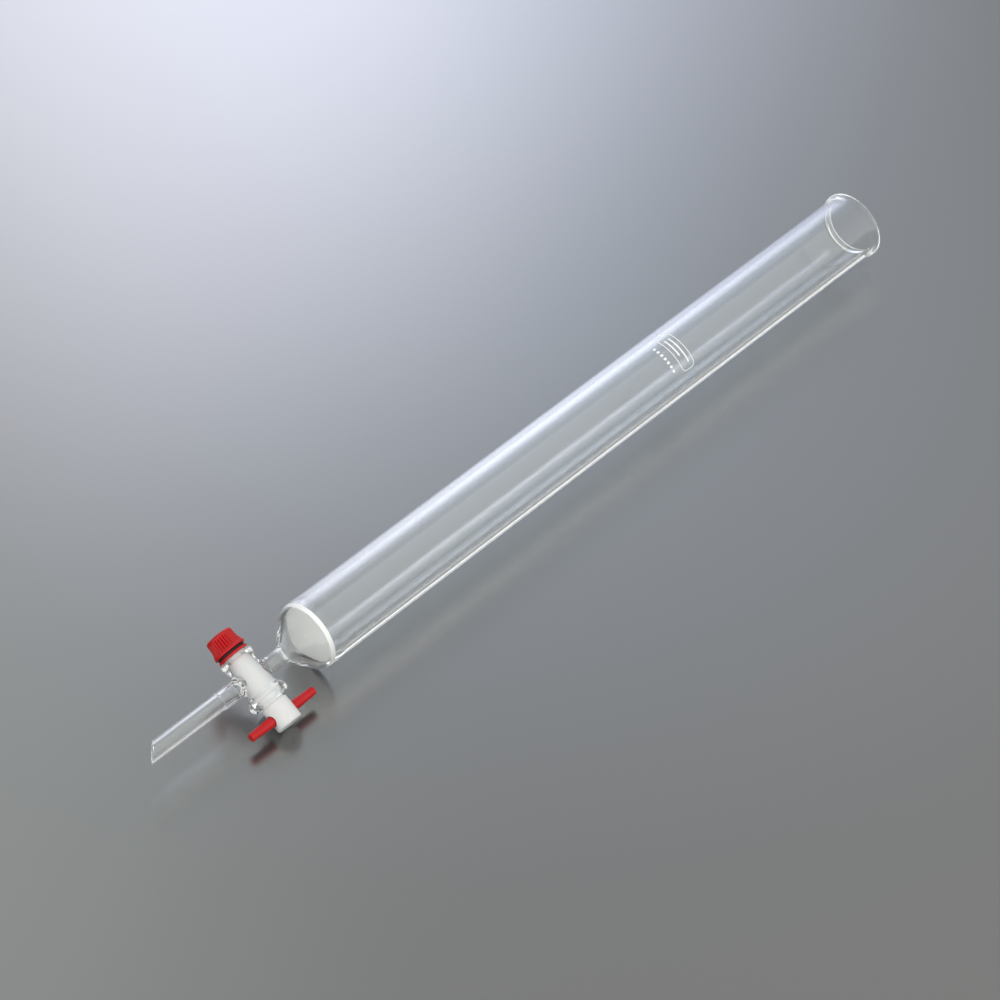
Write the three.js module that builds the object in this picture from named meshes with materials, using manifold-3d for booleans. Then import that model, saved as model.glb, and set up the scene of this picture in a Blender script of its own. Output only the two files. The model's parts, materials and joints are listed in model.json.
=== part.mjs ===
// Glass chromatography column with a fritted disc, a PTFE stopcock and a bevelled outlet.
// It lies on its rim bead and on the edge of the stopcock hub, so z = 0 is the bench.
// +X runs along the column towards the open rim. Millimetres, +Z up.

import * as THREE from "three";
import { mergeVertices } from "three/addons/utils/BufferGeometryUtils.js";
import Module from "manifold-3d";

const wasm = await Module();
wasm.setup();

// ---- driving dimensions, millimetres ----

// column: x = 0 is the middle of the fritted disc
const TUBE_OUTER_R = 17.5;
const TUBE_WALL = 2.5;
const EFFECTIVE_LENGTH = 400; // disc to rim
const SEAL_BULGE = 0.2; // the tube swells a little where the disc is fused in
const BEAD_OUTER_R = 18.9;
const BEAD_ROUND = 1.3;
const MOUTH_R = 16.3;
const FLARE_LENGTH = 5;
const DISC_THICKNESS = 2.4;
const SHOULDER_START = 0.5;
const SHOULDER_ROUND = 11;
const CONE_ANGLE = Math.PI / 4;
const STEM_OUTER_R = 4.2;
const BORE_R = 3.2; // stem, side arms and outlet
const STEM_FILLET = 3;
const STEM_WELD_X = -25;
const CONE_BORE_X = -16.2;

// stopcock: local +Z runs along the plug from its hub to its nut
const STOPCOCK_X = -37.2;
const BARREL_HUB_END = -14.9;
const BARREL_NUT_END = 12.8;
const BARREL_R = 7.4;
const FLANGE_R = 10.5;
const COLLAR_R = 8.8;
const OUTLET_ARM_R = 4.7;
const OUTLET_ARM_END = 21; // distance from the plug's axis
const PORT_R = 2.1; // the hole through each side of the barrel
const PORT_END = 8; // where it opens into the arm's bore
const PLUG_BIG_R = 6.5; // at the barrel's hub end
const PLUG_TAPER = 0.1; // radius lost per mm, a 1:5 taper on the diameter
const PLUG_CLEARANCE = 0.1;
const PLUG_BORE_R = 2;
const HUB_R = 6.9;
const HUB_START = -15.9;
const HUB_END = -28.2;
const HUB_ROUND = 1.3;
const GROOVE_R = 5.9;
const LEVER_Z = -22.1;
const LEVER_LENGTH = 41;
const LEVER_ROOT_R = 2.9;
const LEVER_TIP_R = 2.1;
const LEVER_ROUND = 0.7;
const LEVER_HOLE_R = 3.1;
const THREAD_MAJOR_R = 3.65;
const THREAD_MINOR_R = 3.05;
const THREAD_PITCH = 2;
const THREAD_START = 13.2;
const THREAD_END = 24.7;
const THREAD_CLEARANCE = 0.3;
const WASHER_R = 7.9;
const WASHER_THICKNESS = 1.3;
const SEAL_HOLE_R = 3.9;
const RING_OUTER_R = 7.4;
const RING_THICKNESS = 1.1;
const STACK_GAP = 0.15; // between the barrel, washer, ring and nut
const NUT_END = 25.2;
const NUT_TOP_R = 7;
const NUT_SKIRT_R = 8.4;
const NUT_ROUND = 1.2;
const RIB_COUNT = 30;
const RIB_DEPTH = 0.3;

// outlet tube
const OUTLET_R = 4.35;
const OUTLET_TIP_X = -63.1; // tip centre, from the plug's axis
const WELD_GAP = 0.3;

// how finely round shapes are faceted
const TUBE_SIDES = 48;
const SMALL_SIDES = 28;
const ROWS_PER_PITCH = 4;

// ---- small tools ----

// points on an arc, from angle a to angle b (radians, from +X of the profile plane)
function arc(cx, cy, r, a, b, steps) {
  const points = [];
  for (let i = 0; i <= steps; i++) {
    const t = a + ((b - a) * i) / steps;
    points.push([cx + r * Math.cos(t), cy + r * Math.sin(t)]);
  }
  return points;
}

// a merged, closed manifold solid from any closed three.js geometry
function solidOf(geometry) {
  let g = geometry.clone();
  g.deleteAttribute("normal");
  g.deleteAttribute("uv");
  g = mergeVertices(g, 1e-4);
  const p = g.attributes.position;
  const corner = (i) => new THREE.Vector3().fromBufferAttribute(p, i);
  const tris = [];
  let volume = 0;
  for (let i = 0; i < g.index.count; i += 3) {
    const [a, b, c] = [0, 1, 2].map((k) => g.index.getX(i + k));
    if (a === b || b === c || c === a) continue;
    tris.push([a, b, c]);
    volume += corner(a).dot(corner(b).cross(corner(c)));
  }
  if (volume < 0) tris.forEach((t) => t.reverse());
  const mesh = new wasm.Mesh({
    numProp: 3,
    vertProperties: Float32Array.from(p.array),
    triVerts: Uint32Array.from(tris.flat()),
  });
  return new wasm.Manifold(mesh);
}

function geometryOf(solid) {
  const mesh = solid.getMesh();
  const g = new THREE.BufferGeometry();
  g.setAttribute("position", new THREE.BufferAttribute(mesh.vertProperties, 3));
  g.setIndex(new THREE.BufferAttribute(mesh.triVerts, 1));
  return g;
}

// a solid of revolution about X or Z from [along, radius] points; the loop closes on itself
function turned(points, sides, axis) {
  const loop = points.map(([along, r]) => new THREE.Vector2(r, along));
  loop.push(loop[0].clone());
  const g = new THREE.LatheGeometry(loop, sides);
  if (axis === "x") g.rotateZ(-Math.PI / 2);
  else g.rotateX(Math.PI / 2);
  return solidOf(g);
}

// a plain rod along X or Z
function rod(from, to, r, sides, axis) {
  return turned([[from, 0], [from, r], [to, r], [to, 0]], sides, axis);
}

// a helical thread about Z, as a rod whose wall is pushed in and out along the helix
function threadRod(from, to, minorR, majorR, fadeEnds) {
  const length = to - from;
  const rows = Math.round((length / THREAD_PITCH) * ROWS_PER_PITCH);
  const g = new THREE.CylinderGeometry(1, 1, length, SMALL_SIDES, rows);
  g.rotateX(Math.PI / 2);
  g.translate(0, 0, (from + to) / 2);
  const p = g.attributes.position;
  for (let i = 0; i < p.count; i++) {
    const [x, y, z] = [p.getX(i), p.getY(i), p.getZ(i)];
    if (Math.hypot(x, y) < 0.5) continue;
    const turn = (z - THREAD_START) / THREAD_PITCH - Math.atan2(y, x) / (2 * Math.PI);
    const wave = 0.5 + 0.5 * Math.cos(2 * Math.PI * turn);
    const fromEnd = Math.min(z - from, to - z) / THREAD_PITCH;
    const fade = fadeEnds ? Math.min(1, fromEnd) : 1;
    const r = minorR + (majorR - minorR) * wave * fade;
    p.setXY(i, x * r, y * r);
  }
  return solidOf(g);
}

function finish(name, solid, colour, roughness, opacity = 1) {
  const material = new THREE.MeshStandardMaterial({
    color: new THREE.Color(...colour),
    roughness,
    metalness: 0,
    opacity,
    transparent: opacity < 1,
  });
  const mesh = new THREE.Mesh(geometryOf(solid), material);
  mesh.name = name;
  return mesh;
}

const glass = (name, solid) => finish(name, solid, [0.86, 0.9, 0.9], 0.05, 0.35);
const redPlastic = (name, solid) => finish(name, solid, [0.72, 0.02, 0.02], 0.4);
const whitePlastic = (name, solid) => finish(name, solid, [0.9, 0.9, 0.88], 0.5);

// ---- glass ----

function columnTube() {
  const innerR = TUBE_OUTER_R - TUBE_WALL;
  const [sin, cos] = [Math.sin(CONE_ANGLE), Math.cos(CONE_ANGLE)];
  const shoulderR = TUBE_OUTER_R - SHOULDER_ROUND;
  const up = Math.PI / 2;
  const shoulder = arc(SHOULDER_START, shoulderR, SHOULDER_ROUND, up, up + CONE_ANGLE, 5);
  const [coneX, coneR] = shoulder[shoulder.length - 1];
  // the cone meets the stem in a fillet
  const stemX = coneX - ((coneR - STEM_OUTER_R) * cos) / sin;
  const filletX = stemX - STEM_FILLET * Math.tan(CONE_ANGLE / 2);
  const filletCentreR = STEM_OUTER_R + STEM_FILLET;
  const fillet = arc(filletX, filletCentreR, STEM_FILLET, -up + CONE_ANGLE, -up, 3);
  const innerShoulder = arc(
    SHOULDER_START, shoulderR, SHOULDER_ROUND - TUBE_WALL, up + CONE_ANGLE, up, 4);
  const beadX = EFFECTIVE_LENGTH - BEAD_ROUND;
  const bead = arc(beadX, BEAD_OUTER_R - BEAD_ROUND, BEAD_ROUND, 0, up, 3);
  const outerRoot = EFFECTIVE_LENGTH - FLARE_LENGTH;
  return turned([
    ...innerShoulder,
    [outerRoot, innerR],
    [EFFECTIVE_LENGTH - BEAD_ROUND / 2, MOUTH_R - 0.3],
    [EFFECTIVE_LENGTH, MOUTH_R],
    ...bead,
    [beadX - BEAD_ROUND, BEAD_OUTER_R - 0.4],
    [outerRoot, TUBE_OUTER_R],
    [3 * DISC_THICKNESS, TUBE_OUTER_R],
    [DISC_THICKNESS, TUBE_OUTER_R + SEAL_BULGE],
    ...shoulder,
    ...fillet,
    [STEM_WELD_X, STEM_OUTER_R],
    [STEM_WELD_X, BORE_R],
    [CONE_BORE_X, BORE_R],
  ], TUBE_SIDES, "x");
}

function frittedDisc() {
  const r = TUBE_OUTER_R - TUBE_WALL - WELD_GAP;
  return rod(-DISC_THICKNESS / 2, DISC_THICKNESS / 2, r, TUBE_SIDES, "x");
}

function plugR(z) {
  return PLUG_BIG_R - PLUG_TAPER * (z - BARREL_HUB_END);
}

function stopcockBarrel() {
  const up = Math.PI / 2;
  const flangeRound = 3;
  const flangeZ = BARREL_HUB_END + flangeRound;
  const collarRound = 1.5;
  const collarZ = BARREL_NUT_END - collarRound;
  const body = turned([
    [BARREL_HUB_END, 0],
    [BARREL_HUB_END, FLANGE_R - 2.2],
    ...arc(flangeZ, FLANGE_R - flangeRound, flangeRound, 2 * up - 0.5, up - 0.7, 5),
    [flangeZ + 4.2, BARREL_R + 0.6],
    [flangeZ + 6.5, BARREL_R + 0.2],
    [0, BARREL_R],
    [6.5, BARREL_R],
    [8, COLLAR_R - 0.9],
    ...arc(collarZ, COLLAR_R - collarRound, collarRound, up + 0.4, 0, 4),
    [BARREL_NUT_END, 0],
  ], SMALL_SIDES, "z");
  const armFoot = BARREL_R + 2.5;
  const stemArm = turned([
    [0, 0], [0, STEM_OUTER_R + 2], [BARREL_R - 0.6, STEM_OUTER_R + 1.6], [armFoot, STEM_OUTER_R],
    [STEM_WELD_X - WELD_GAP - STOPCOCK_X, STEM_OUTER_R], [STEM_WELD_X - WELD_GAP - STOPCOCK_X, 0],
  ], SMALL_SIDES, "x");
  const outletArm = turned([
    [0, 0], [0, OUTLET_ARM_R + 2], [-BARREL_R + 0.6, OUTLET_ARM_R + 1.6], [-armFoot, OUTLET_ARM_R],
    [-OUTLET_ARM_END + 1.5, OUTLET_ARM_R], [-OUTLET_ARM_END, OUTLET_R], [-OUTLET_ARM_END, 0],
  ], SMALL_SIDES, "x");
  const ports = rod(-PORT_END - 1, PORT_END + 1, PORT_R, SMALL_SIDES, "x");
  const stemBore = rod(PORT_END, -STOPCOCK_X + STEM_WELD_X + 1, BORE_R, SMALL_SIDES, "x");
  const outletBore = rod(-OUTLET_ARM_END - 1, -PORT_END, BORE_R, SMALL_SIDES, "x");
  const reach = 2; // the taper cutter runs past both ends
  const taper = turned([
    [BARREL_HUB_END - reach, 0],
    [BARREL_HUB_END - reach, plugR(BARREL_HUB_END - reach) + PLUG_CLEARANCE],
    [BARREL_NUT_END + reach, plugR(BARREL_NUT_END + reach) + PLUG_CLEARANCE],
    [BARREL_NUT_END + reach, 0],
  ], SMALL_SIDES, "z");
  const bores = ports.add(stemBore).add(outletBore).add(taper);
  return body.add(stemArm).add(outletArm).subtract(bores);
}

function outletTube() {
  const start = -OUTLET_ARM_END - WELD_GAP;
  const spare = 3 * OUTLET_R; // the bevel is cut from a longer tube
  const tube = turned([
    [start, BORE_R], [start, OUTLET_R], [OUTLET_TIP_X - spare, OUTLET_R], [OUTLET_TIP_X - spare, BORE_R],
  ], SMALL_SIDES, "x");
  // a block whose face is the bevel: it looks along -X and +Y, so the long side is at -Y
  const size = 8 * OUTLET_R;
  const block = new THREE.BoxGeometry(size, size, size);
  block.translate(-size / 2, 0, 0);
  block.rotateZ(-Math.PI / 4);
  block.translate(OUTLET_TIP_X, 0, 0);
  return tube.subtract(solidOf(block));
}

// ---- stopcock's moving pieces ----

function stopcockPlug() {
  const up = Math.PI / 2;
  const hubCorner = arc(
    HUB_END + HUB_ROUND, HUB_R - HUB_ROUND, HUB_ROUND, 2 * up, up, 4);
  const taperEnd = THREAD_START - 0.6;
  const body = turned([
    [HUB_END, 0],
    ...hubCorner,
    [HUB_START - 0.4, HUB_R],
    [HUB_START, HUB_R - 0.4],
    [HUB_START, GROOVE_R],
    [BARREL_HUB_END - 0.1, GROOVE_R],
    [BARREL_HUB_END + 0.2, plugR(BARREL_HUB_END + 0.2)],
    [taperEnd, plugR(taperEnd)],
    [taperEnd, THREAD_MINOR_R - 0.2],
    [THREAD_START + 1, THREAD_MINOR_R - 0.2],
    [THREAD_START + 1, 0],
  ], SMALL_SIDES, "z");
  const thread = threadRod(taperEnd - 0.5, THREAD_END, THREAD_MINOR_R, THREAD_MAJOR_R, true);
  const bore = rod(-2 * HUB_R, 2 * HUB_R, PLUG_BORE_R, 24, "x");
  const leverHole = rod(-2 * HUB_R, 2 * HUB_R, LEVER_HOLE_R, 24, "x").translate([0, 0, LEVER_Z]);
  return body.add(thread).subtract(bore).subtract(leverHole);
}

function handleLever() {
  const half = LEVER_LENGTH / 2;
  const tip = arc(half - LEVER_ROUND, LEVER_TIP_R - LEVER_ROUND, LEVER_ROUND, Math.PI / 2, 0, 3);
  const mirrored = tip.map(([x, r]) => [-x, r]).reverse();
  return turned([[-half, 0], ...mirrored, [0, LEVER_ROOT_R], ...tip, [half, 0]], 24, "x");
}

const WASHER_START = BARREL_NUT_END + STACK_GAP;
const RING_START = WASHER_START + WASHER_THICKNESS + STACK_GAP;
const NUT_START = RING_START + RING_THICKNESS + STACK_GAP;

function sealWasher() {
  const [a, b] = [WASHER_START, WASHER_START + WASHER_THICKNESS];
  return turned([
    [a, SEAL_HOLE_R], [a, WASHER_R - 0.25], [a + 0.25, WASHER_R],
    [b - 0.25, WASHER_R], [b, WASHER_R - 0.25], [b, SEAL_HOLE_R],
  ], SMALL_SIDES, "z");
}

function sealRing() {
  const [a, b] = [RING_START, RING_START + RING_THICKNESS];
  return turned([
    [a, SEAL_HOLE_R], [a, RING_OUTER_R - 0.3], [a + 0.3, RING_OUTER_R],
    [b - 0.3, RING_OUTER_R], [b, RING_OUTER_R - 0.3], [b, SEAL_HOLE_R],
  ], SMALL_SIDES, "z");
}

// The nut is waisted: straight near its top, then flared to the skirt.
function nutR(z) {
  const flareStart = NUT_START + 5;
  const t = Math.max(0, Math.min(1, (flareStart - z) / (flareStart - NUT_START - 1)));
  return NUT_TOP_R + 0.03 * (NUT_END - z) + (NUT_SKIRT_R - NUT_TOP_R - 0.25) * t * t * (2 - t);
}

function retainingNut() {
  const length = NUT_END - NUT_START;
  const rows = 6;
  const g = new THREE.CylinderGeometry(1, 1, length, RIB_COUNT * 2, rows);
  g.rotateX(Math.PI / 2);
  g.translate(0, 0, (NUT_START + NUT_END) / 2);
  const p = g.attributes.position;
  for (let i = 0; i < p.count; i++) {
    const [x, y, z] = [p.getX(i), p.getY(i), p.getZ(i)];
    if (Math.hypot(x, y) < 0.5) continue;
    const valley = 0.5 - 0.5 * Math.cos(RIB_COUNT * Math.atan2(y, x));
    const edge = Math.min(1, (z - NUT_START) / 1.5) * Math.min(1, (NUT_END - z) / 1.5);
    const roundIn = Math.max(0, z - (NUT_END - NUT_ROUND));
    const rounding = NUT_ROUND - Math.sqrt(NUT_ROUND ** 2 - Math.min(NUT_ROUND, roundIn) ** 2);
    const r = nutR(z) - RIB_DEPTH * valley * edge - rounding;
    p.setXY(i, x * r, y * r);
  }
  const tap = threadRod(
    NUT_START - THREAD_PITCH, NUT_END + THREAD_PITCH,
    THREAD_MINOR_R + THREAD_CLEARANCE, THREAD_MAJOR_R + THREAD_CLEARANCE, false);
  return solidOf(g).subtract(tap);
}

// ---- assembly ----

// The object has rolled until the hub's rounded edge touches the bench.
const AXIS_HEIGHT = BEAD_OUTER_R;
const edgeOut = -HUB_END - HUB_ROUND;
const edgeUp = HUB_R - HUB_ROUND;
const ROLL = Math.asin((AXIS_HEIGHT - HUB_ROUND) / Math.hypot(edgeOut, edgeUp))
  - Math.atan2(edgeUp, edgeOut);

const stopcock = new THREE.Group();
stopcock.position.x = STOPCOCK_X;
stopcock.rotation.x = ROLL - Math.PI / 2;
const lever = redPlastic("handle_lever", handleLever());
lever.position.z = LEVER_Z;
stopcock.add(
  glass("stopcock_barrel", stopcockBarrel()),
  whitePlastic("stopcock_plug", stopcockPlug()),
  lever,
  redPlastic("seal_washer", sealWasher()),
  finish("seal_ring", sealRing(), [0.02, 0.02, 0.02], 0.6),
  redPlastic("retaining_nut", retainingNut()),
);

const outlet = glass("outlet_tube", outletTube());
outlet.position.x = STOPCOCK_X;

const column = new THREE.Group();
column.add(
  glass("column_tube", columnTube()),
  finish("fritted_disc", frittedDisc(), [0.88, 0.88, 0.85], 0.9),
  outlet,
  stopcock,
);

// the origin is on the bench, under the middle of the object's box
const whole = new THREE.Box3().setFromObject(column, true);
const centre = whole.getCenter(new THREE.Vector3());
column.position.set(-centre.x, -centre.y, AXIS_HEIGHT);

const group = new THREE.Group();
group.name = "chromatography_column";
group.add(column);

export default group;
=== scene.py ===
"""Glass chromatography column with a fritted disc, a PTFE stopcock and a bevelled outlet, lying on a bench.

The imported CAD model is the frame. Shapes are made in millimetres in two local frames and placed in metres:
the column's (+X along the tube, x = 0 at the middle of the disc) and the stopcock's (+Z along the plug,
from its hub to its nut). The long tube, the barrel and the outlet are one piece of fused glass here.
"""

import itertools
import json
import math

import bmesh
import bpy
import numpy as np
from mathutils import Matrix, Vector


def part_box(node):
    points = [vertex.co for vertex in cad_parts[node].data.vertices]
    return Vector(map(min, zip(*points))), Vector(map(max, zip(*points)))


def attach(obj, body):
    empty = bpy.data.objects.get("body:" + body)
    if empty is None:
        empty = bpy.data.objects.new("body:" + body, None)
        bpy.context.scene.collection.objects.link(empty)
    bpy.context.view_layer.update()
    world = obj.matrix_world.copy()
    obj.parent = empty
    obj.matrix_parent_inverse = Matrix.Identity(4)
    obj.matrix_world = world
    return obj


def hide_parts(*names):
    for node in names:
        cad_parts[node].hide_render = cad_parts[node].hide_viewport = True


MM = 0.001
PI = math.pi

# ---- driving dimensions, millimetres, as in the CAD source ----

TUBE_OUTER_R = 17.5
TUBE_WALL = 2.5
EFFECTIVE_LENGTH = 400
SEAL_BULGE = 0.2
BEAD_OUTER_R = 18.9
BEAD_ROUND = 1.3
MOUTH_R = 16.3
FLARE_LENGTH = 5
DISC_THICKNESS = 2.4
SHOULDER_START = 0.5
SHOULDER_ROUND = 11
CONE_ANGLE = PI / 4
STEM_OUTER_R = 4.2
BORE_R = 3.2
STEM_FILLET = 3
STEM_WELD_X = -25
CONE_BORE_X = -16.2

STOPCOCK_X = -37.2
BARREL_HUB_END = -14.9
BARREL_NUT_END = 12.8
BARREL_R = 7.4
FLANGE_R = 10.5
COLLAR_R = 8.8
OUTLET_ARM_R = 4.7
OUTLET_ARM_END = 21
PORT_R = 2.1
PORT_END = 8
PLUG_BIG_R = 6.5
PLUG_TAPER = 0.1
PLUG_CLEARANCE = 0.1
PLUG_BORE_R = 2
HUB_R = 6.9
HUB_START = -15.9
HUB_END = -28.2
HUB_ROUND = 1.3
GROOVE_R = 5.9
LEVER_Z = -22.1
LEVER_LENGTH = 41
LEVER_ROOT_R = 2.9
LEVER_TIP_R = 2.1
LEVER_ROUND = 0.7
LEVER_HOLE_R = 3.1
THREAD_MAJOR_R = 3.65
THREAD_MINOR_R = 3.05
THREAD_PITCH = 2
THREAD_START = 13.2
THREAD_END = 24.7
THREAD_CLEARANCE = 0.3
WASHER_R = 7.9
WASHER_THICKNESS = 1.3
SEAL_HOLE_R = 3.9
RING_OUTER_R = 7.4
RING_THICKNESS = 1.1
STACK_GAP = 0.15
NUT_END = 25.2
NUT_TOP_R = 7
NUT_SKIRT_R = 8.4
NUT_ROUND = 1.2
RIB_COUNT = 30
RIB_DEPTH = 0.3

OUTLET_R = 4.35
OUTLET_TIP_X = -63.1

WASHER_START = BARREL_NUT_END + STACK_GAP
RING_START = WASHER_START + WASHER_THICKNESS + STACK_GAP
NUT_START = RING_START + RING_THICKNESS + STACK_GAP

# ---- what only the visual model has ----

PLUG_PRESS = 0.02  # the plug's taper is pressed this far into the glass, as soft PTFE seats
PLUG_RELIEF = 0.2  # and held this far under its own taper where it does not touch
# where the plug touches the barrel: (z, touching) along it, with a ring near the hub
SEAT = [
    (-11.6, False), (-11.4, True), (-10.6, True), (-10.4, False),
    (-9.2, False), (-9.0, True), (11.0, True), (11.2, False),
]
DISC_EMBED = 0.04  # the disc's edge is sunk this far into the wall it is fused to
WELD_OVERLAP = 0.7  # how far the turned glass runs into the barrel's arms
WELD_STEP = 0.06  # the barrel's arm is this much thicker, outside and in, than the glass turned into it
FUSE = 2.6  # size of the melted fillets where the arms meet the barrel
BORE_DOME = (2.4, 1.2)  # the blind end of each arm's bore: its length, and how steeply it closes
SKIN_CELL = 0.34  # grid of the barrel's surface
FLARE_EASE = 6  # length over which the plain tube turns into the flare
DISC_GRAIN = 0.02  # how far the points of the disc's faces stray
HUB_DIMPLE = (0.35, 1.1, 1.5)  # in the hub's end: depth, radius of its floor and of its rim
LEVER_SEAM = (0.07, 0.05)  # the line of the mould: its height, and its half-width in radians
NUT_FLARE = 5  # length of the skirt
NUT_DRAFT = 0.03  # radius gained per mm down from the top
NUT_PLAIN = (1, 1.6)  # the ribs stop this far above the skirt's edge and this far below the top
RIB_SHARP = 2  # narrower grooves between the nut's ribs than the CAD's
RIB_RELIEF = 2  # and twice as deep, for their dark lines
MARK_X = 252  # the print, from the disc
MARK_TURN = 25  # degrees from straight up, towards the bevel's long side
MARK_FRAME = [(23, 8.8, 2.6), (22.2, 8, 2.2)]  # width, height and corner, outside and inside
MARK_BARS = [(0, 1.3, 16), (-2.5, -1.5, 11)]  # across, along, length
MARK_BAR_WIDTH, MARK_BAR_CORNER = 0.9, 0.3
MARK_BLOCK = (1.3, 1.7, 0.25)
MARK_BLOCK_COUNT, MARK_BLOCK_PITCH, MARK_BLOCKS_ALONG = 7, 2.5, -9.5
MARK_THICKNESS, MARK_LIFT = 0.03, 0.012
MARK_REACH, MARK_STEP = 13.2, 0.6  # the print is cut into strips this wide, so that it bends with the tube
TRAPPED_AFTER = 14  # bounces after which a ray caught inside the glass is let out
TUBE_SIDES = 160
SMALL_SIDES = 96
OUTLET_ROWS = 40  # rows along its wall, so that its smooth normals stay true up to the lip

# ---- camera and lights ----

CAMERA_AZIMUTH = -46.72
CAMERA_ELEVATION = 45.36
CAMERA_DISTANCE = 1.728  # metres, from the disc
CAMERA_RIGHT = 0.08937
CAMERA_UP = 0.06297
CAMERA_LENS = 132.84
SENSOR = 36
BENCH_REACH = 6.0  # metres
SOFTBOXES = [  # name, azimuth, elevation, distance, size, watts, colour
    ("back_main", 150, 26, 1.2, 1.2, 9.6, (0.9, 0.89, 1)),
    ("back_low", 135, 16, 1.2, 1.2, 7.2, (0.71, 0.78, 1)),
    ("back_edge", 160, 8, 1.2, 1.2, 5.0, (0.77, 0.85, 1)),
    ("back_side", 120, 38, 1.2, 1.2, 1.5, (0.62, 0.76, 1)),
    ("back_glow", 142, 38, 1.2, 1.2, 1.3, (0.4, 0.68, 1)),
    ("left_low", 228, 10, 1.2, 1.2, 3.0, (0.95, 0.97, 1)),
    ("key", 180, 52, 1.2, 1.2, 2.1, (0.9, 1, 0.96)),
]
EDGE_STRIPS = [  # name, x, y, length, width, metres
    ("tube_strip", 0.0525, -0.013, 0.4, 0.0028),
    ("outlet_strip", -0.2205, -0.002, 0.06, 0.0035),
]
EDGE_STRIP_Z = 0.0006
EDGE_STRIP_POWER = 4.5  # watts per square metre
ROOM_LIGHT = 0.98  # the white room's brightness, overhead
ROOM_TURN = (-0.27, -0.71)  # how much brighter it is towards +X and +Y
HORIZON_DIM = 0.6
HORIZON = (0.0, 0.09)  # the room brightens from HORIZON_DIM to full between these heights, as sines

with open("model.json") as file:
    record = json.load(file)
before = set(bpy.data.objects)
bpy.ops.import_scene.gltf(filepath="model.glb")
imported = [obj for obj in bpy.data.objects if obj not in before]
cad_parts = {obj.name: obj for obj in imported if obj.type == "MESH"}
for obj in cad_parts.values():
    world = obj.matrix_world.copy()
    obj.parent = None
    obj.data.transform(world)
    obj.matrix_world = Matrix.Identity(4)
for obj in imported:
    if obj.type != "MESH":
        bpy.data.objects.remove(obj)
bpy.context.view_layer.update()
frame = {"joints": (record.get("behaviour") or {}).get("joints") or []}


# ---- shapes: a shape is (vertices in mm, faces) ----


def arc(cx, cy, r, a, b, steps):
    """Points on an arc, from angle a to angle b."""
    return [(cx + r * math.cos(t), cy + r * math.sin(t)) for t in np.linspace(a, b, steps + 1)]


def softened(points, radius, steps=4):
    """An open profile with each inner corner rounded, by at most half of the shorter side."""
    made = [points[0]]
    for before, here, after in zip(points, points[1:], points[2:]):
        p, a, b = (np.array(q, float) for q in (here, before, after))
        reach = min(radius, np.linalg.norm(a - p) / 2, np.linalg.norm(b - p) / 2)
        a = p + (a - p) / max(np.linalg.norm(a - p), 1e-9) * reach
        b = p + (b - p) / max(np.linalg.norm(b - p), 1e-9) * reach
        for t in np.linspace(0, 1, steps + 1):
            made.append(tuple((1 - t) ** 2 * a + 2 * t * (1 - t) * p + t * t * b))
    return made + [points[-1]]


def turned(profile, sides, axis="x"):
    """A profile of (along, radius) points turned about an axis; the profile closes on itself."""
    verts, rings = [], []
    for along, r in profile:
        count = sides if r > 1e-6 else 1
        rings.append([len(verts) + i for i in range(count)])
        for i in range(count):
            c, s = r * math.cos(2 * PI * i / sides), r * math.sin(2 * PI * i / sides)
            verts.append((along, c, s) if axis == "x" else (c, s, along))
    faces = []
    for p, q in zip(rings, rings[1:] + rings[:1]):
        if len(p) == len(q) == 1:
            continue
        for i in range(sides):
            j = (i + 1) % sides
            corners = [p[i % len(p)], p[j % len(p)], q[j % len(q)], q[i % len(q)]]
            faces.append(tuple(dict.fromkeys(corners)))
    return np.array(verts, float), faces


def shell(radius_at, rows, sides, inner_at):
    """A closed sleeve about Z: an outer and an inner wall, free to vary with angle, and flat ends."""
    angles = np.arange(sides) * 2 * PI / sides
    loops = [(z, radius_at) for z in rows] + [(z, inner_at) for z in rows[::-1]]
    verts = [(at(z, t) * math.cos(t), at(z, t) * math.sin(t), z) for z, at in loops for t in angles]
    faces = []
    for k in range(len(loops)):
        p, q = k * sides, (k + 1) % len(loops) * sides
        faces += [(p + i, p + (i + 1) % sides, q + (i + 1) % sides, q + i) for i in range(sides)]
    return np.array(verts, float), faces


def mesh_of(shape):
    """A Blender mesh, still in millimetres, with its faces turned outwards."""
    mesh = bpy.data.meshes.new("shape")
    mesh.from_pydata([tuple(v) for v in shape[0]], [], shape[1])
    work = bmesh.new()
    work.from_mesh(mesh)
    bmesh.ops.recalc_face_normals(work, faces=work.faces)
    work.to_mesh(mesh)
    work.free()
    return mesh


def combined(mesh, other, operation):
    """The boolean of two meshes."""
    pair = [bpy.data.objects.new("work", m) for m in (mesh, other)]
    for obj in pair:
        bpy.context.scene.collection.objects.link(obj)
    cut = pair[0].modifiers.new("cut", "BOOLEAN")
    cut.operation, cut.object, cut.solver = operation, pair[1], "MANIFOLD"
    graph = bpy.context.evaluated_depsgraph_get()
    made = bpy.data.meshes.new_from_object(pair[0].evaluated_get(graph))
    for obj in pair:
        bpy.data.objects.remove(obj)
    return made


def placed(name, mesh, where, body, material, stands_for=(), sharp=38):
    """The finished piece: scaled to metres, smooth but for its sharp edges, riding on its body."""
    mesh.name = name
    mesh.transform(Matrix.Scale(MM, 4))
    for face in mesh.polygons:
        face.use_smooth = True
    mesh.set_sharp_from_angle(angle=math.radians(sharp))
    mesh.materials.clear()
    mesh.materials.append(material)
    obj = bpy.data.objects.new(name, mesh)
    bpy.context.scene.collection.objects.link(obj)
    obj.matrix_world = where
    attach(obj, body)
    if stands_for:
        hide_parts(*stands_for)
    return obj


# ---- the two local frames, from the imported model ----


def column_frame():
    low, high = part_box("fritted_disc")
    return Matrix.Translation((low + high) / 2)


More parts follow.
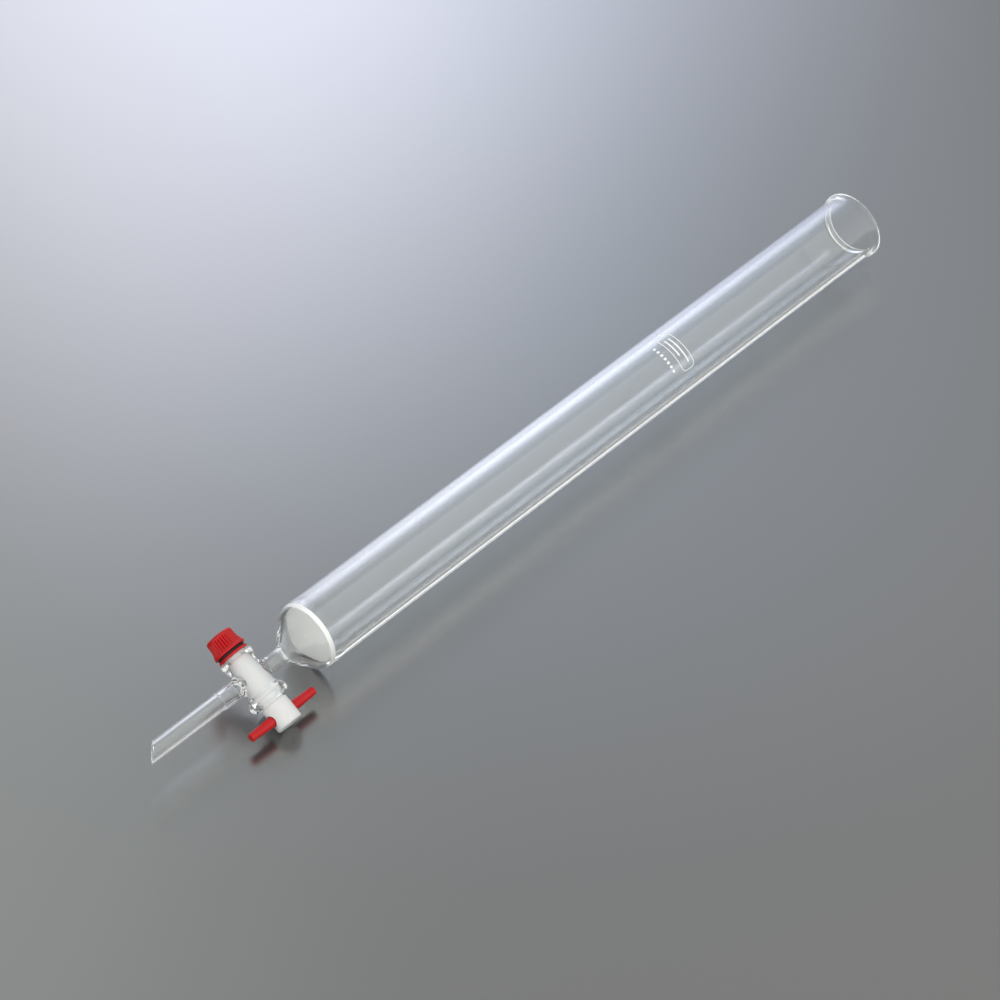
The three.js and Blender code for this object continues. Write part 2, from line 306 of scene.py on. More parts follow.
def stopcock_frame():
    joint = next(j for j in frame["joints"] if j["name"] == "plug_turn")
    z = Vector(joint["axis"]).normalized()
    x = Vector((1, 0, 0))
    turn = Matrix((x, z.cross(x), z)).transposed().to_4x4()
    return Matrix.Translation(joint["pos_m"]) @ turn


COLUMN = column_frame()
STOPCOCK = stopcock_frame()


# ---- node helpers ----


def material_of(name, colour, roughness, **values):
    """A Principled material, its node tree, and its shader."""
    material = bpy.data.materials.new(name)
    material.use_nodes = True
    tree = material.node_tree
    shader = next(n for n in tree.nodes if n.type == "BSDF_PRINCIPLED")
    shader.inputs["Base Color"].default_value = (*colour, 1)
    shader.inputs["Roughness"].default_value = roughness
    for key, value in values.items():
        shader.inputs[key.replace("_", " ")].default_value = value
    return material, tree, shader


def node(tree, kind, **values):
    made = tree.nodes.new(kind)
    for key, value in values.items():
        if key in made.bl_rna.properties:
            setattr(made, key, value)
        else:
            made.inputs[key.replace("_", " ")].default_value = value
    return made


def object_coords(tree, scale=(1, 1, 1)):
    """The piece's own coordinates, stretched."""
    coords = node(tree, "ShaderNodeTexCoord")
    stretch = node(tree, "ShaderNodeMapping", Scale=scale)
    tree.links.new(coords.outputs["Object"], stretch.inputs["Vector"])
    return stretch.outputs["Vector"]


def noise(tree, coords, scale, detail=2.0):
    made = node(tree, "ShaderNodeTexNoise", Scale=scale, Detail=detail)
    tree.links.new(coords, made.inputs["Vector"])
    return made.outputs["Fac"]


def between(tree, factor, low, high, start=0.0, end=1.0):
    """Maps a value from start..end to low..high."""
    made = node(tree, "ShaderNodeMapRange")
    made.inputs["From Min"].default_value, made.inputs["From Max"].default_value = start, end
    made.inputs["To Min"].default_value, made.inputs["To Max"].default_value = low, high
    tree.links.new(factor, made.inputs["Value"])
    return made.outputs["Result"]


def mixed(tree, factor, low, high):
    """A colour between two, by a value."""
    made = node(tree, "ShaderNodeMix", data_type="RGBA")
    colours = [s for s in made.inputs if s.type == "RGBA"]
    colours[0].default_value, colours[1].default_value = (*low, 1), (*high, 1)
    tree.links.new(factor, made.inputs[0])
    return next(s for s in made.outputs if s.type == "RGBA")


def bumped(tree, shader, height, strength, depth):
    made = node(tree, "ShaderNodeBump", Strength=strength, Distance=depth)
    tree.links.new(height, made.inputs["Height"])
    tree.links.new(made.outputs["Normal"], shader.inputs["Normal"])


# ---- materials ----


def clear_glass():
    """Borosilicate glass. Rays that carry light to matt surfaces pass straight through it, so that what is
    inside is lit and its shadow is as light as real glass's is. So do rays caught inside it."""
    material, tree, shader = material_of(
        "clear_glass", (0.975, 0.99, 0.985), 0.0, IOR=1.473, Transmission_Weight=1.0)
    path = node(tree, "ShaderNodeLightPath")
    lost = node(tree, "ShaderNodeMath", operation="GREATER_THAN")
    lost.inputs[1].default_value = TRAPPED_AFTER
    light = node(tree, "ShaderNodeMath", operation="MAXIMUM")
    clear = node(tree, "ShaderNodeMath", operation="MAXIMUM")
    tree.links.new(path.outputs["Ray Depth"], lost.inputs[0])
    tree.links.new(path.outputs["Is Shadow Ray"], light.inputs[0])
    tree.links.new(path.outputs["Is Diffuse Ray"], light.inputs[1])
    tree.links.new(light.outputs[0], clear.inputs[0])
    tree.links.new(lost.outputs[0], clear.inputs[1])
    through = node(tree, "ShaderNodeBsdfTransparent", Color=(0.96, 0.97, 0.97, 1))
    mix = node(tree, "ShaderNodeMixShader")
    output = next(n for n in tree.nodes if n.type == "OUTPUT_MATERIAL")
    tree.links.new(clear.outputs[0], mix.inputs[0])
    tree.links.new(shader.outputs[0], mix.inputs[1])
    tree.links.new(through.outputs[0], mix.inputs[2])
    tree.links.new(mix.outputs[0], output.inputs["Surface"])
    return material


def sintered_glass():
    """White fused grains."""
    material, tree, shader = material_of("sintered_glass", (0.9, 0.9, 0.89), 0.75)
    coords = object_coords(tree)
    grains = node(tree, "ShaderNodeTexVoronoi", Scale=3500.0)
    tree.links.new(coords, grains.inputs["Vector"])
    tone = mixed(tree, noise(tree, coords, 900.0), (0.93, 0.93, 0.92), (0.99, 0.99, 0.98))
    tree.links.new(tone, shader.inputs["Base Color"])
    bumped(tree, shader, grains.outputs["Distance"], 0.35, 0.00015)
    return material


def white_ptfe():
    """Waxy PTFE with fine marks round the plug's axis from turning."""
    material, tree, shader = material_of(
        "white_ptfe", (0.71, 0.71, 0.71), 0.42, Subsurface_Weight=0.25, Subsurface_Scale=0.002)
    rings = noise(tree, object_coords(tree, (60, 60, 4200)), 1.0, 3.0)
    tone = mixed(tree, noise(tree, object_coords(tree), 220.0), (0.68, 0.68, 0.68), (0.74, 0.74, 0.74))
    tree.links.new(tone, shader.inputs["Base Color"])
    tree.links.new(between(tree, rings, 0.34, 0.5), shader.inputs["Roughness"])
    bumped(tree, shader, rings, 0.12, 0.00005)
    return material


def red_plastic():
    """Moulded polypropylene: soft gloss, and a faint ripple from the mould."""
    material, tree, shader = material_of("red_plastic", (0.52, 0.005, 0.008), 0.3, IOR=1.4)
    coords = object_coords(tree)
    tone = mixed(tree, noise(tree, coords, 160.0), (0.42, 0.002, 0.004), (0.52, 0.004, 0.007))
    tree.links.new(tone, shader.inputs["Base Color"])
    tree.links.new(between(tree, noise(tree, coords, 700.0), 0.26, 0.4), shader.inputs["Roughness"])
    bumped(tree, shader, noise(tree, coords, 500.0, 3.0), 0.08, 0.0001)
    return material


def black_rubber():
    material, tree, shader = material_of("black_rubber", (0.008, 0.008, 0.008), 0.6)
    coords = object_coords(tree)
    tree.links.new(between(tree, noise(tree, coords, 1500.0), 0.42, 0.62), shader.inputs["Roughness"])
    bumped(tree, shader, noise(tree, coords, 3000.0), 0.1, 0.00004)
    return material


def white_print():
    """Fired white enamel, a little uneven."""
    material, tree, shader = material_of("white_print", (0.93, 0.93, 0.92), 0.5)
    coords = object_coords(tree)
    tone = mixed(tree, noise(tree, coords, 1800.0), (0.82, 0.83, 0.82), (0.95, 0.95, 0.94))
    tree.links.new(tone, shader.inputs["Base Color"])
    return material


def bench_surface():
    """A plain dark bench with a satin gloss, pale where it reflects the lights."""
    material, tree, shader = material_of("bench", (0.03, 0.03, 0.03), 0.25, IOR=3.2)
    coords = object_coords(tree)
    tree.links.new(between(tree, noise(tree, coords, 6.0), 0.245, 0.255), shader.inputs["Roughness"])
    return material


# ---- glass ----


def column_profile():
    """The tube, its rim, shoulder, cone and stem, as a closed profile in the column's frame."""
    inner_r, up = TUBE_OUTER_R - TUBE_WALL, PI / 2
    shoulder_r = TUBE_OUTER_R - SHOULDER_ROUND
    shoulder = arc(SHOULDER_START, shoulder_r, SHOULDER_ROUND, up, up + CONE_ANGLE, 20)
    cone_x, cone_r = shoulder[-1]
    stem_x = cone_x - (cone_r - STEM_OUTER_R) / math.tan(CONE_ANGLE)
    fillet_x = stem_x - STEM_FILLET * math.tan(CONE_ANGLE / 2)
    fillet = arc(fillet_x, STEM_OUTER_R + STEM_FILLET, STEM_FILLET, CONE_ANGLE - up, -up, 10)
    inner_shoulder = arc(SHOULDER_START, shoulder_r, SHOULDER_ROUND - TUBE_WALL, up + CONE_ANGLE, up, 16)
    bead_x = EFFECTIVE_LENGTH - BEAD_ROUND
    bead = arc(bead_x, BEAD_OUTER_R - BEAD_ROUND, BEAD_ROUND, -0.3, up, 12)
    root = EFFECTIVE_LENGTH - FLARE_LENGTH
    seal = []
    for x in np.linspace(3 * DISC_THICKNESS, DISC_THICKNESS, 9):
        swell = 0.5 + 0.5 * math.cos(PI * (x - DISC_THICKNESS) / (2 * DISC_THICKNESS))
        seal.append((x, TUBE_OUTER_R + SEAL_BULGE * swell))
    mouth = softened(
        [(root - FLARE_EASE, inner_r), (root, inner_r), (bead_x, MOUTH_R - 0.5),
         (EFFECTIVE_LENGTH, MOUTH_R), bead[0]], 2.5, 6)
    outside = softened(
        [bead[-1], (bead_x - BEAD_ROUND, BEAD_OUTER_R - 0.4), (root, TUBE_OUTER_R),
         (root - FLARE_EASE, TUBE_OUTER_R)], 1.5, 6)
    weld = STEM_WELD_X - WELD_OVERLAP
    throat = softened([(weld, BORE_R), (CONE_BORE_X, BORE_R), inner_shoulder[0]], 2.5, 6)
    long_wall = [(x, inner_r) for x in np.linspace(SHOULDER_START, root - FLARE_EASE, 24)[1:-1]]
    long_side = [(x, TUBE_OUTER_R) for x in np.linspace(root - FLARE_EASE, 3 * DISC_THICKNESS, 24)[1:-1]]
    return [
        *inner_shoulder, *long_wall, *mouth[:-1], *bead, *outside[1:], *long_side, *seal, *shoulder,
        *fillet, (weld, STEM_OUTER_R), *throat[:-1],
    ]


def outlet_shape():
    """The outlet, in the column's frame; its end leans over into the bevel."""
    start, tip = STOPCOCK_X - OUTLET_ARM_END + WELD_OVERLAP, STOPCOCK_X + OUTLET_TIP_X
    lip = softened([(tip + 0.4, OUTLET_R), (tip, OUTLET_R), (tip, BORE_R), (tip + 0.4, BORE_R)], 0.3, 4)
    rows = np.linspace(start, tip + 0.4, OUTLET_ROWS)[:-1]
    wall = [(x, OUTLET_R) for x in rows] + lip + [(x, BORE_R) for x in rows[::-1]]
    verts, faces = turned(wall, SMALL_SIDES)
    lean = np.clip((tip + 2 * OUTLET_R - verts[:, 0]) / (2 * OUTLET_R), 0, 1)
    verts[:, 0] += verts[:, 1] * lean
    return verts, faces


def rounding(depth, size):
    """How far a rounded edge falls back, this deep below the end it belongs to."""
    past = min(size, max(0, size - depth))
    return size - math.sqrt(size**2 - past**2)


def plug_r(z):
    """Radius of the plug's taper."""
    return PLUG_BIG_R - PLUG_TAPER * (z - BARREL_HUB_END)


def barrel_profile():
    """Outside of the barrel as (radius, z) points."""
    up, flange_round, collar_round = PI / 2, 3, 1.5
    flange_z = BARREL_HUB_END + flange_round
    collar_z = BARREL_NUT_END - collar_round
    points = [
        (BARREL_HUB_END, FLANGE_R - 2.2),
        *arc(flange_z, FLANGE_R - flange_round, flange_round, 2 * up - 0.5, up - 0.7, 12),
        (flange_z + 4.2, BARREL_R + 0.6), (flange_z + 6.5, BARREL_R + 0.2), (0, BARREL_R), (6.5, BARREL_R),
        (8, COLLAR_R - 0.9),
        *arc(collar_z, COLLAR_R - collar_round, collar_round, up + 0.4, 0, 8),
    ]
    points = softened(points, 1.2, 4)
    return [(0, BARREL_HUB_END)] + [(r, z) for z, r in points] + [(0, BARREL_NUT_END)]


def polygon_distance(x, y, polygon):
    """Signed distance to a closed polygon, negative inside."""
    nearest, inside = np.full(x.shape, 1e9), np.zeros(x.shape, bool)
    for (ax, ay), (bx, by) in zip(polygon, polygon[1:] + polygon[:1]):
        ex, ey = bx - ax, by - ay
        t = np.clip(((x - ax) * ex + (y - ay) * ey) / max(ex * ex + ey * ey, 1e-12), 0, 1)
        nearest = np.minimum(nearest, np.hypot(x - ax - t * ex, y - ay - t * ey))
        if ay != by:
            inside ^= ((ay > y) != (by > y)) & (x < ex * (y - ay) / ey + ax)
    return np.where(inside, -nearest, nearest)


def blended_min(a, b, size):
    h = np.clip(0.5 + 0.5 * (b - a) / size, 0, 1)
    return b * (1 - h) + a * h - size * h * (1 - h)


def barrel_distance(points, profile):
    """Signed distance, near enough, to the barrel with its arms melted on and its bores open."""
    x, y, z = (points[..., i] for i in range(3))
    radius, arm = np.hypot(x, y), np.hypot(y, z)
    body = polygon_distance(radius, z, profile)
    stem_end = STEM_WELD_X - STOPCOCK_X
    stem = np.maximum(arm - STEM_OUTER_R - WELD_STEP, -x)
    outlet = np.maximum(arm - OUTLET_ARM_R, x)
    solid = blended_min(blended_min(body, stem, FUSE), outlet, FUSE)
    solid = -blended_min(-solid, x + OUTLET_ARM_END, 0.5)
    solid = -blended_min(-solid, stem_end - x, 0.2)
    taper = radius - plug_r(z) - PLUG_CLEARANCE
    solid = -blended_min(-solid, taper, 0.5)
    solid = -blended_min(-solid, arm - PORT_R, 0.3)
    dome_length, dome_slope = BORE_DOME
    dome = np.maximum(PORT_END + dome_length - abs(x), 0) * dome_slope
    return -blended_min(-solid, np.hypot(arm, dome) - BORE_R + WELD_STEP, 0.4)


def skinned(distance, low, high, cell):
    """The zero surface of a distance function: a surface net on a grid, then relaxed and drawn onto it."""
    axes = [np.arange(a, b + cell, cell) for a, b in zip(low, high)]
    value = distance(np.stack(np.meshgrid(*axes, indexing="ij"), -1))
    inside, shape = value < 0, np.array(value.shape)
    corners = list(itertools.product((0, 1), repeat=3))

    def shifted(grid, step):
        return grid[tuple(slice(s, n - 1 + s) for s, n in zip(step, shape))]

    count = sum(shifted(inside, c).astype(int) for c in corners)
    cells = np.argwhere((count > 0) & (count < 8))
    number = np.full(shape - 1, -1)
    number[tuple(cells.T)] = np.arange(len(cells))
    total, hits = np.zeros((len(cells), 3)), np.zeros(len(cells))
    for axis in range(3):
        along = np.eye(3, dtype=int)[axis]
        for corner in (c for c in corners if c[axis] == 0):
            a = cells + np.array(corner)
            da, db = value[tuple(a.T)], value[tuple((a + along).T)]
            crossing = (da < 0) != (db < 0)
            t = np.where(crossing, da / np.where(crossing, da - db, 1), 0)
            total[crossing] += (a + t[:, None] * along)[crossing]
            hits += crossing
    points = np.array(low) + total / hits[:, None] * cell
    faces = []
    for axis in range(3):
        u, v = np.eye(3, dtype=int)[(axis + 1) % 3], np.eye(3, dtype=int)[(axis + 2) % 3]
        along = np.eye(3, dtype=int)[axis]
        near = tuple(slice(0, n - 1) if i == axis else slice(1, n - 1) for i, n in enumerate(shape))
        far = tuple(slice(1, n) if i == axis else slice(1, n - 1) for i, n in enumerate(shape))
        edge = np.argwhere(inside[near] != inside[far]) + 1 - along
        ring = [number[tuple((edge - s).T)] for s in (0 * u, u, u + v, v)]
        flip = inside[tuple((edge + along).T)]
        quads = np.stack(ring, 1)
        quads[~flip] = quads[~flip][:, ::-1]
        faces.append(quads)
    faces = np.concatenate(faces)
    for _ in range(3):
        points = onto(distance, relaxed(points, faces), cell)
    return points, [tuple(int(i) for i in f) for f in faces]


def relaxed(points, faces):
    """Each point moved halfway to the mean of its neighbours."""
    total, count = np.zeros_like(points), np.zeros(len(points))
    for i in range(4):
        a, b = faces[:, i], faces[:, (i + 1) % 4]
        np.add.at(total, a, points[b])
        np.add.at(total, b, points[a])
        np.add.at(count, a, 1)
        np.add.at(count, b, 1)
    return (points + total / count[:, None]) / 2


def onto(distance, points, cell):
    """Points drawn onto the zero surface by Newton steps."""
    step = 0.01
    for _ in range(3):
        slope = np.stack(
            [distance(points + step * e) - distance(points - step * e) for e in np.eye(3)], -1) / (2 * step)
        size = np.maximum((slope**2).sum(-1), 0.25)
        move = distance(points)[:, None] * slope / size[:, None]
        length = np.maximum(np.linalg.norm(move, axis=-1, keepdims=True), 1e-9)
        points = points - move * np.minimum(1, 0.5 * cell / length)
    return points


def barrel_shape():
    """The barrel's skin, in the stopcock's frame."""
    profile = barrel_profile()
    side = FLANGE_R + 1
    low = (-OUTLET_ARM_END - 1, -side, BARREL_HUB_END - 1)
    high = (STEM_WELD_X - STOPCOCK_X + 1, side, BARREL_NUT_END + 1)
    cell = SKIN_CELL
    return skinned(lambda p: barrel_distance(p, profile), low, high, cell)


def glass_body(material):
    """Tube, barrel and outlet, fused into one piece."""
    barrel = mesh_of(barrel_shape())
    barrel.transform(Matrix.Scale(1 / MM, 4) @ COLUMN.inverted() @ STOPCOCK @ Matrix.Scale(MM, 4))
    mesh = combined(mesh_of(turned(column_profile(), TUBE_SIDES)), barrel, "UNION")
    mesh = combined(mesh, mesh_of(outlet_shape()), "UNION")
    return placed(
        "glass_body", mesh, COLUMN, "glass_column", material,
        ("column_tube", "stopcock_barrel", "outlet_tube"))


def fritted_disc(material):
    """The porous disc: dense rings of points, each nudged a little, so that its surface is granular."""
    half, edge = DISC_THICKNESS / 2, TUBE_OUTER_R - TUBE_WALL + DISC_EMBED
    side = softened([(-half, edge - 1), (-half, edge), (half, edge), (half, edge - 1)], 0.3, 3)
    radii = np.linspace(0, edge - 1, 34)
    profile = [(-half, r) for r in radii] + side + [(half, r) for r in radii[::-1]]
    verts, faces = turned(profile, TUBE_SIDES)
    random = np.random.default_rng(3)
    flat = np.hypot(verts[:, 1], verts[:, 2]) < edge - 0.6
    verts[flat, 0] += random.normal(0, DISC_GRAIN, flat.sum())
    return placed(
        "fritted_disc_grains", mesh_of((verts, faces)), COLUMN, "glass_column", material,
        ("fritted_disc",))


# ---- plug, lever, seals and nut ----


def thread_r(z, angle, minor, major):
    """Radius of a rounded helical thread."""
    turn = (z - THREAD_START) / THREAD_PITCH - angle / (2 * PI)
    return minor + (major - minor) * (0.5 + 0.5 * math.cos(2 * PI * turn))


def thread_rod(start, end, minor, major, faded, rows_per_pitch=16):
    """A rod with a rounded helical thread."""
    rows = int((end - start) / THREAD_PITCH * rows_per_pitch)
    verts, faces = [(0, 0, start)], []
    for k in range(rows + 1):
        z = start + (end - start) * k / rows
        fade = min(1, min(z - start, end - z) / THREAD_PITCH) if faded else 1
        for i in range(SMALL_SIDES):
            t = 2 * PI * i / SMALL_SIDES
            r = minor + (thread_r(z, t, minor, major) - minor) * fade
            if faded:
                r -= rounding(end - z, 0.4)
            verts.append((r * math.cos(t), r * math.sin(t), z))
    verts.append((0, 0, end))
    for i in range(SMALL_SIDES):
        j = (i + 1) % SMALL_SIDES
        faces.append((0, 1 + j, 1 + i))
        last = 1 + rows * SMALL_SIDES
        faces.append((last + i, last + j, len(verts) - 1))
        for k in range(rows):
            p, q = 1 + k * SMALL_SIDES, 1 + (k + 1) * SMALL_SIDES
            faces.append((p + i, p + j, q + j, q + i))
    return np.array(verts, float), faces


def rod_x(radius, half, z):
    """A plain cutter along X at height z."""
    verts, faces = turned([(-half, 0), (-half, radius), (half, radius), (half, 0)], SMALL_SIDES)
    verts[:, 2] += z
    return mesh_of((verts, faces))


def stopcock_plug(material):
    """Hub, relief groove, taper and threaded end, with the cross bore and the lever's hole through them."""
    up, taper_end = PI / 2, THREAD_START - 0.6
    corner = arc(HUB_END + HUB_ROUND, HUB_R - HUB_ROUND, HUB_ROUND, 2 * up, up, 10)
    press = PLUG_CLEARANCE + PLUG_PRESS
    seat = [(z, plug_r(z) + (press if pressed else -PLUG_RELIEF)) for z, pressed in SEAT]
    rest = softened(
        [corner[-1], (HUB_START, HUB_R), (HUB_START, GROOVE_R), (BARREL_HUB_END - 0.1, GROOVE_R),
         (BARREL_HUB_END + 0.2, plug_r(BARREL_HUB_END) - PLUG_RELIEF), *seat,
         (taper_end, plug_r(taper_end) - 0.1),
         (taper_end, THREAD_MINOR_R - 0.2), (THREAD_START + 1, THREAD_MINOR_R - 0.2),
         (THREAD_START + 1, 0)], 0.4, 4)
    depth, floor_r, rim_r = HUB_DIMPLE
    dimple = [(HUB_END + depth, 0), (HUB_END + depth, floor_r), (HUB_END, rim_r)]
    profile = softened(dimple + [corner[0]], 0.3, 3) + corner[1:] + rest[1:]
    mesh = mesh_of(turned(profile, TUBE_SIDES, "z"))
    thread = thread_rod(taper_end - 0.5, THREAD_END, THREAD_MINOR_R, THREAD_MAJOR_R, True)
    mesh = combined(mesh, mesh_of(thread), "UNION")
    mesh = combined(mesh, rod_x(PLUG_BORE_R, 2 * HUB_R, 0), "DIFFERENCE")
    mesh = combined(mesh, rod_x(LEVER_HOLE_R, 2 * HUB_R, LEVER_Z), "DIFFERENCE")
    return placed("ptfe_plug", mesh, STOPCOCK, "plug", material, ("stopcock_plug",))


def handle_lever(material):
    """A bar thickest in the middle, with rounded ends and the line of its mould along both sides."""
    half, up = LEVER_LENGTH / 2, PI / 2
    tip = arc(half - LEVER_ROUND, LEVER_TIP_R - LEVER_ROUND, LEVER_ROUND, up, 0, 8)
    side = [(x, LEVER_ROOT_R + (LEVER_TIP_R - LEVER_ROOT_R) * abs(x) / (half - LEVER_ROUND))
            for x in np.linspace(-half + LEVER_ROUND, half - LEVER_ROUND, 41)]
    profile = [(-half, 0)] + [(-x, r) for x, r in tip[::-1]] + side[1:-1] + tip + [(half, 0)]
    verts, faces = turned(profile, 120)
    radius = np.hypot(verts[:, 1], verts[:, 2])
    angle = np.arctan2(verts[:, 2], verts[:, 1])
    height, width = LEVER_SEAM
    seam = height * np.exp(-((np.minimum(abs(angle), PI - abs(angle)) / width) ** 2)) * (radius > 1.5)
    verts[:, 1:] *= (1 + seam / np.maximum(radius, 1))[:, None]
    verts[:, 2] += LEVER_Z
    return placed(
        "lever_bar", mesh_of((verts, faces)), STOPCOCK, "plug", material, ("handle_lever",))


def ring(start, thickness, inner, outer, corner):
    """A flat ring about Z with rounded edges."""
    end, middle = start + thickness, (inner + outer) / 2
    half = softened([(start, middle), (start, outer), (end, outer), (end, middle)], corner, 6)
    other = softened([(end, middle), (end, inner), (start, inner), (start, middle)], corner, 6)
    return mesh_of(turned(half[:-1] + other[:-1], SMALL_SIDES, "z"))


def seal_washer(material):
    mesh = ring(WASHER_START, WASHER_THICKNESS, SEAL_HOLE_R, WASHER_R, 0.25)
    return placed("washer", mesh, STOPCOCK, "seals", material, ("seal_washer",))


def seal_ring(material):
    mesh = ring(RING_START, RING_THICKNESS, SEAL_HOLE_R, RING_OUTER_R, RING_THICKNESS)
    return placed("o_ring", mesh, STOPCOCK, "seals", material, ("seal_ring",))


def nut_r(z):
    """The nut's outside before its ribs: a slight draft, and the skirt flaring out at the seals' end."""
    flare = NUT_START + NUT_FLARE
    t = max(0, min(1, (flare - z) / (flare - NUT_START - 1)))
    return NUT_TOP_R + NUT_DRAFT * (NUT_END - z) + (NUT_SKIRT_R - NUT_TOP_R - 0.25) * t * t * (2 - t)


def retaining_nut(material):
    """Ribbed for the fingers, plain at its top and skirt, with the thread inside."""
    plain_skirt, plain_top = NUT_PLAIN

    def outer(z, angle):
        valley = (0.5 - 0.5 * math.cos(RIB_COUNT * angle)) ** RIB_SHARP
        edge = max(0, min(1, z - NUT_START - plain_skirt, (NUT_END - plain_top - z) / 0.5))
        ends = rounding(NUT_END - z, NUT_ROUND) + rounding(z - NUT_START, 0.4)
        return nut_r(z) - RIB_DEPTH * RIB_RELIEF * valley * edge - ends

    def inner(z, angle):
        return thread_r(z, angle, THREAD_MINOR_R + THREAD_CLEARANCE, THREAD_MAJOR_R + THREAD_CLEARANCE)

    top = NUT_END - NUT_ROUND
    rows = [
        *np.linspace(NUT_START, NUT_START + 0.4, 5), *np.linspace(NUT_START + 0.4, top, 60)[1:],
        *(top + NUT_ROUND * np.sin(np.linspace(0, PI / 2, 8)[1:]) * 0.995),
    ]
    mesh = mesh_of(shell(outer, rows, RIB_COUNT * 10, inner))
    return placed("ribbed_nut", mesh, STOPCOCK, "nut", material, ("retaining_nut",), 50)


# ---- the print on the tube: a plain frame and bars, with no lettering ----


def rounded_loop(width, height, radius, steps=8):
    """A rounded rectangle as points, counter-clockwise."""
    w, h = width / 2 - radius, height / 2 - radius
    points = []
    for k, (sx, sy) in enumerate([(1, 1), (-1, 1), (-1, -1), (1, -1)]):
        points += arc(sx * w, sy * h, radius, k * PI / 2, (k + 1) * PI / 2, steps)
    return np.array(points)


def printed_mark(material):
    """Thin enamel shapes laid on the glass, built flat (across, along the tube) and then wrapped."""
    verts, faces = [], []

    def add(outer, inner=None, at=(0, 0)):
        """A flat plate with the given outline, or a band between two outlines."""
        loops = [np.array(outer) + at] + ([np.array(inner) + at] if inner is not None else [])
        n = len(loops[0])
        for height in (0, MARK_THICKNESS):
            for loop in loops:
                verts.extend((x, y, height) for x, y in loop)
        base, layer = len(verts) - 2 * n * len(loops), n * len(loops)
        for i in range(n):
            j = (i + 1) % n
            faces.append((base + i, base + j, base + layer + j, base + layer + i))
            if inner is not None:
                a, b = base + n, base + layer + n
                faces.append((a + i, b + i, b + j, a + j))
                faces.append((base + i, a + i, a + j, base + j))
                faces.append((base + layer + i, base + layer + j, b + j, b + i))
        if inner is None:
            faces.append(tuple(base + i for i in range(n))[::-1])
            faces.append(tuple(base + layer + i for i in range(n)))

    add(*(rounded_loop(*size) for size in MARK_FRAME))
    for across, along, length in MARK_BARS:
        add(rounded_loop(length, MARK_BAR_WIDTH, MARK_BAR_CORNER), at=(across, along))
    for k in range(MARK_BLOCK_COUNT):
        across = (k - (MARK_BLOCK_COUNT - 1) / 2) * MARK_BLOCK_PITCH
        add(rounded_loop(*MARK_BLOCK), at=(across, MARK_BLOCKS_ALONG))
    mesh = bpy.data.meshes.new("mark")
    mesh.from_pydata(verts, [], faces)
    work = bmesh.new()
    work.from_mesh(mesh)
    for cut in np.arange(-MARK_REACH, MARK_REACH + MARK_STEP / 6, MARK_STEP):
        parts = work.verts[:] + work.edges[:] + work.faces[:]
        bmesh.ops.bisect_plane(work, geom=parts, plane_co=(cut, 0, 0), plane_no=(1, 0, 0))
    for v in work.verts:
        across, along, height = v.co
        turn = math.radians(MARK_TURN) + across / TUBE_OUTER_R
        r = TUBE_OUTER_R + MARK_LIFT + height
        v.co = (MARK_X + along, -r * math.sin(turn), r * math.cos(turn))
    bmesh.ops.recalc_face_normals(work, faces=work.faces)
    work.to_mesh(mesh)
    work.free()
    return placed("printed_mark", mesh, COLUMN, "glass_column", material, (), 30)


# ---- stage ----


def toward(azimuth, elevation):
    """The direction from the bench to a point at this azimuth and elevation, in degrees."""
    a, e = math.radians(azimuth), math.radians(elevation)
    return Vector((math.sin(a) * math.cos(e), -math.cos(a) * math.cos(e), math.sin(e)))


def camera():
    """A long lens, aimed along the direction above and shifted to frame the column."""
    back = toward(CAMERA_AZIMUTH, CAMERA_ELEVATION)
    right = Vector((0, 0, 1)).cross(back).normalized()
    up = back.cross(right)
    data = bpy.data.cameras.new("camera")
    data.lens, data.sensor_width, data.clip_start = CAMERA_LENS, SENSOR, 0.01
    obj = bpy.data.objects.new("camera", data)
    bpy.context.scene.collection.objects.link(obj)
    turn = Matrix((right, up, back)).transposed().to_4x4()
    place = COLUMN.translation + back * CAMERA_DISTANCE + right * CAMERA_RIGHT + up * CAMERA_UP
    obj.matrix_world = Matrix.Translation(place) @ turn
    bpy.context.scene.camera = obj


def softbox(name, azimuth, elevation, distance, size, power, colour):
    """A square light facing the middle of the bench, brightest in its middle and fading to its edges."""
    data = bpy.data.lights.new(name, "AREA")
    data.shape, data.size, data.energy, data.color = "SQUARE", size, power, colour
    data.use_nodes = True
    tree = data.node_tree
    place = node(tree, "ShaderNodeNewGeometry")
    away = node(tree, "ShaderNodeVectorMath", operation="DISTANCE")
    away.inputs[1].default_value = (0.5, 0.5, 0)
    fade = node(tree, "ShaderNodeMapRange", interpolation_type="SMOOTHERSTEP")
    fade.inputs["From Min"].default_value, fade.inputs["From Max"].default_value = 0.5, 0
    tree.links.new(place.outputs["Parametric"], away.inputs[0])
    tree.links.new(away.outputs["Value"], fade.inputs["Value"])
    emission = next(n for n in tree.nodes if n.type == "EMISSION")
    tree.links.new(fade.outputs["Result"], emission.inputs["Strength"])
    obj = bpy.data.objects.new(name, data)
    bpy.context.scene.collection.objects.link(obj)
    back = toward(azimuth, elevation)
    turn = back.to_track_quat("Z", "Y").to_matrix().to_4x4()
    obj.matrix_world = Matrix.Translation(back * distance) @ turn
    obj.visible_camera = False


def edge_strip(name, x, y, length, width):
    """A thin light lying under an edge of the glass, seen only as the bright line along that edge."""
    data = bpy.data.lights.new(name, "AREA")
    data.shape, data.size, data.size_y = "RECTANGLE", length, width
    data.energy = EDGE_STRIP_POWER * length * width
    obj = bpy.data.objects.new(name, data)
    bpy.context.scene.collection.objects.link(obj)
    obj.matrix_world = Matrix.Translation((x, y, EDGE_STRIP_Z)) @ Matrix.Rotation(PI, 4, "X")
    obj.visible_camera = False


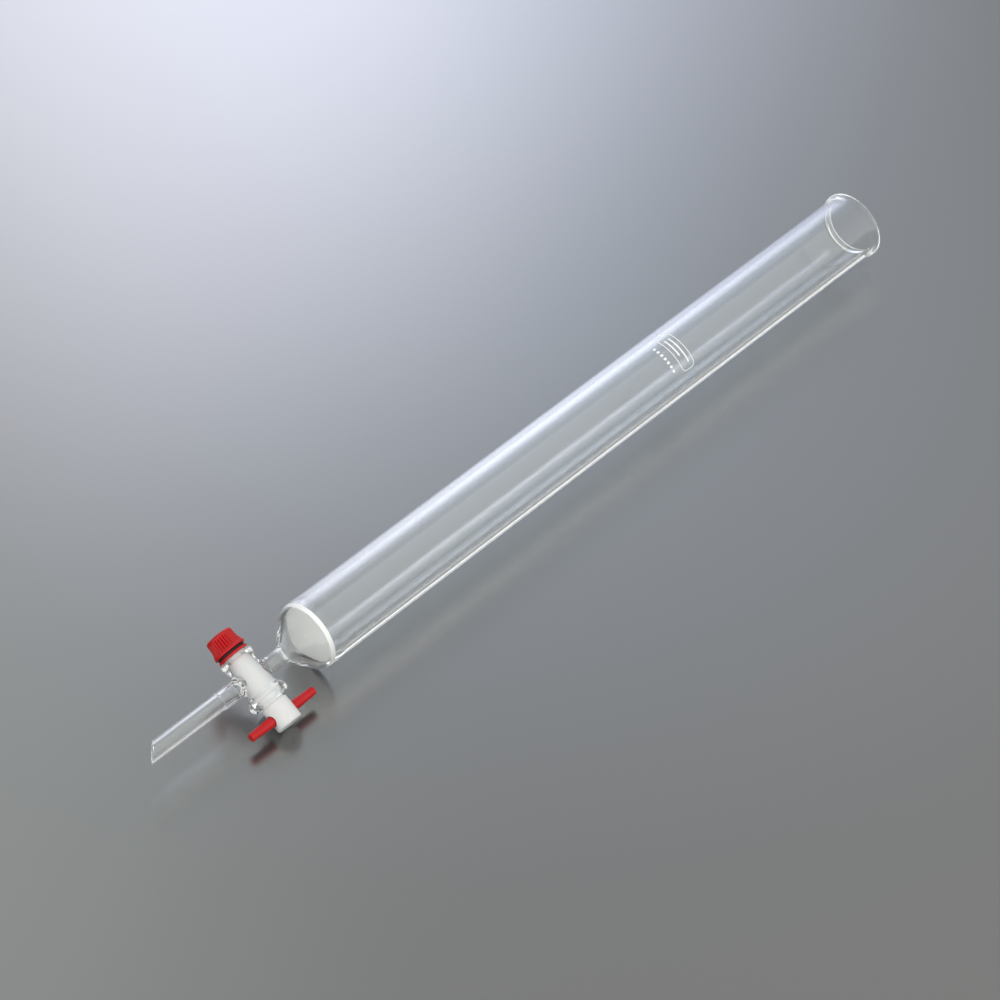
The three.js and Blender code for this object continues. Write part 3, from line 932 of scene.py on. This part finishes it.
def bench(material):
    """A plane under the part, as stage."""
    size = BENCH_REACH
    mesh = bpy.data.meshes.new("bench")
    corners = [(x, y, 0) for x, y in ((-size, -size), (size, -size), (size, size), (-size, size))]
    mesh.from_pydata(corners, [], [(0, 1, 2, 3)])
    mesh.materials.append(material)
    obj = bpy.data.objects.new("bench", mesh)
    bpy.context.scene.collection.objects.link(obj)


def surroundings():
    """Render limits for thick clear glass, and a room brighter overhead and towards two sides."""
    scene = bpy.context.scene
    scene.view_settings.view_transform = "Standard"
    scene.cycles.max_bounces = 24
    scene.cycles.transmission_bounces = 24
    scene.cycles.glossy_bounces = 24
    scene.cycles.transparent_max_bounces = 24
    scene.cycles.caustics_reflective = False
    scene.cycles.caustics_refractive = False
    world = bpy.data.worlds.new("room")
    world.use_nodes = True
    tree = world.node_tree
    way = node(tree, "ShaderNodeTexCoord")
    lean = node(tree, "ShaderNodeVectorMath", operation="DOT_PRODUCT")
    lean.inputs[1].default_value = (*ROOM_TURN, 0)
    total = node(tree, "ShaderNodeMath", operation="ADD")
    total.inputs[1].default_value = ROOM_LIGHT
    split = node(tree, "ShaderNodeSeparateXYZ")
    product = node(tree, "ShaderNodeMath", operation="MULTIPLY")
    background = next(n for n in tree.nodes if n.type == "BACKGROUND")
    background.inputs["Color"].default_value = (1, 1, 0.97, 1)
    tree.links.new(way.outputs["Generated"], lean.inputs[0])
    tree.links.new(way.outputs["Generated"], split.inputs[0])
    tree.links.new(lean.outputs["Value"], total.inputs[0])
    tree.links.new(total.outputs[0], product.inputs[0])
    tree.links.new(between(tree, split.outputs["Z"], HORIZON_DIM, 1.0, *HORIZON), product.inputs[1])
    tree.links.new(product.outputs[0], background.inputs["Strength"])
    scene.world = world


camera()
surroundings()
bench(bench_surface())
for box in SOFTBOXES:
    softbox(*box)
for strip in EDGE_STRIPS:
    edge_strip(*strip)

red = red_plastic()
glass_body(clear_glass())
fritted_disc(sintered_glass())
stopcock_plug(white_ptfe())
handle_lever(red)
seal_washer(red)
seal_ring(black_rubber())
retaining_nut(red)
printed_mark(white_print())
